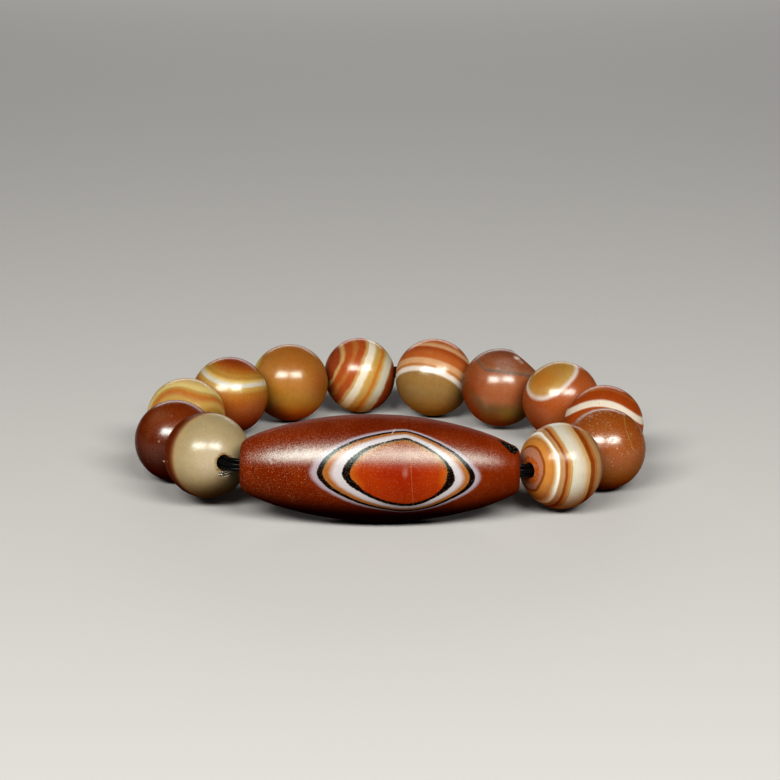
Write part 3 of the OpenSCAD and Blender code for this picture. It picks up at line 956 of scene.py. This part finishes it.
def elastic(places, material):
    """Five round strands side by side round the route: each is the route moved out by a
    spoke that turns slowly along the way, and a small circle carried along it."""
    line = smooth_loop(thread_route(places), STEP_LENGTH, CORNER_REACH)
    ahead = unit(np.roll(line, -1, 0) - np.roll(line, 1, 0))
    side = unit(np.cross(UP, ahead))
    top = np.cross(ahead, side)
    turns = np.linspace(0, 2 * math.pi, len(line), endpoint=False)
    circle = np.linspace(0, 2 * math.pi, STRAND_SIDES, endpoint=False)
    rings = []
    for strand in range(STRANDS):
        angle = (2 * math.pi * strand / STRANDS + STRAND_TWISTS * turns + 0.3)[:, None]
        middle = line + STRAND_OUT * (np.cos(angle) * side + np.sin(angle) * top)
        spoke = (np.cos(circle)[None, :, None] * side[:, None]
                 + np.sin(circle)[None, :, None] * top[:, None])
        rings.append(middle[:, None] + STRAND_R * spoke)
    pieces = [closed_surface("strand", ring, material) for ring in rings]
    with bpy.context.temp_override(active_object=pieces[0], selected_editable_objects=pieces):
        bpy.ops.object.join()
    pieces[0].name = pieces[0].data.name = "elastic_strands"
    return pieces[0]


def elastic_finish():
    """Glossy black rubber strands, faintly streaked along their length."""
    f = Finish("black_elastic")
    spot = f.place((0, 0, 0), 1 / MM)
    streak = f.noise(spot, 1.6, 3.0)
    tint = f.blend(f.fade(streak, 0.3, 0.7), "ink", [12, 11, 11])
    return f.done(tint, 0.3, 0.06, f.relief(f.noise(spot, 5.0), 0.00001))


# The floor and the light

FLOOR_REACH = 3.0             # metres each way
ROOM_LIGHT = 0.04
BOX_AIM = (0, 0, 0.008)       # the place that every soft box faces


def set_stage():
    """A plain pale floor that fills the view."""
    f = Finish("floor")
    f.done(colour((187, 184, 179)), rough=0.8, shine=0.15)
    mesh = bpy.data.meshes.new("floor")
    corners = ((-1, -1), (1, -1), (1, 1), (-1, 1))
    mesh.from_pydata([(FLOOR_REACH * x, FLOOR_REACH * y, 0) for x, y in corners], [],
                     [(0, 1, 2, 3)])
    mesh.materials.append(f.material)
    floor = new_object("floor", mesh)


def soft_box(name, azimuth, elevation, distance, size, power, roll):
    """A rectangular light aimed at the bracelet, rolled about its aim. Azimuth 0 is the
    camera's side, and 90 the right."""
    outward = heading(math.radians(azimuth - 90), math.radians(elevation))
    data = bpy.data.lights.new(name, "AREA")
    data.shape, data.size, data.size_y, data.energy = "RECTANGLE", *size, power
    level = unit(np.cross(UP, outward))
    tilt = math.radians(roll)
    side = math.cos(tilt) * level + math.sin(tilt) * np.cross(outward, level)
    top = np.cross(outward, side)
    place = outward * distance + BOX_AIM
    rows = np.column_stack([side, top, outward, place]).tolist()
    new_object(name, data).matrix_world = Matrix([*rows, [0, 0, 0, 1]])


def set_light():
    """Two soft boxes by the camera, a weaker one behind and a dim even room."""
    soft_box("left_box", -27, 38.5, 0.8, (0.46, 0.21), 10.0, 10)
    soft_box("right_box", 27, 38.5, 0.8, (0.46, 0.21), 10.0, -10)
    soft_box("back_box", 180, 14, 1.0, (0.8, 0.25), 3.0, 0)
    world = bpy.data.worlds.new("room")
    world.use_nodes = True
    background = world.node_tree.nodes["Background"]
    background.inputs["Color"].default_value = (1, 1, 1, 1)
    background.inputs["Strength"].default_value = ROOM_LIGHT
    bpy.context.scene.world = world
    bpy.context.scene.view_settings.view_transform = "Standard"
    bpy.context.scene.view_settings.look = "Medium High Contrast"


# Making the bracelet

PRESSED = {"bead_01": chipped, "bead_08": ground_flat, "bead_11": pocked}


def string_beads():
    """Every piece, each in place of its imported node."""
    places = bead_places()
    for node, place in places.items():
        bead = round_bead(node, place, stone(place, **STONES[node]), PRESSED.get(node))
        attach(bead, "root")
        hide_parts(node)
    eye = closed_surface("eye_bead", worn_eye(), eye_finish())
    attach(eye, "root")
    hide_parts("dzi_bead")
    strands = elastic(places, elastic_finish())
    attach(strands, "root")
    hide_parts("thread")


set_camera()
set_stage()
set_light()
string_beads()
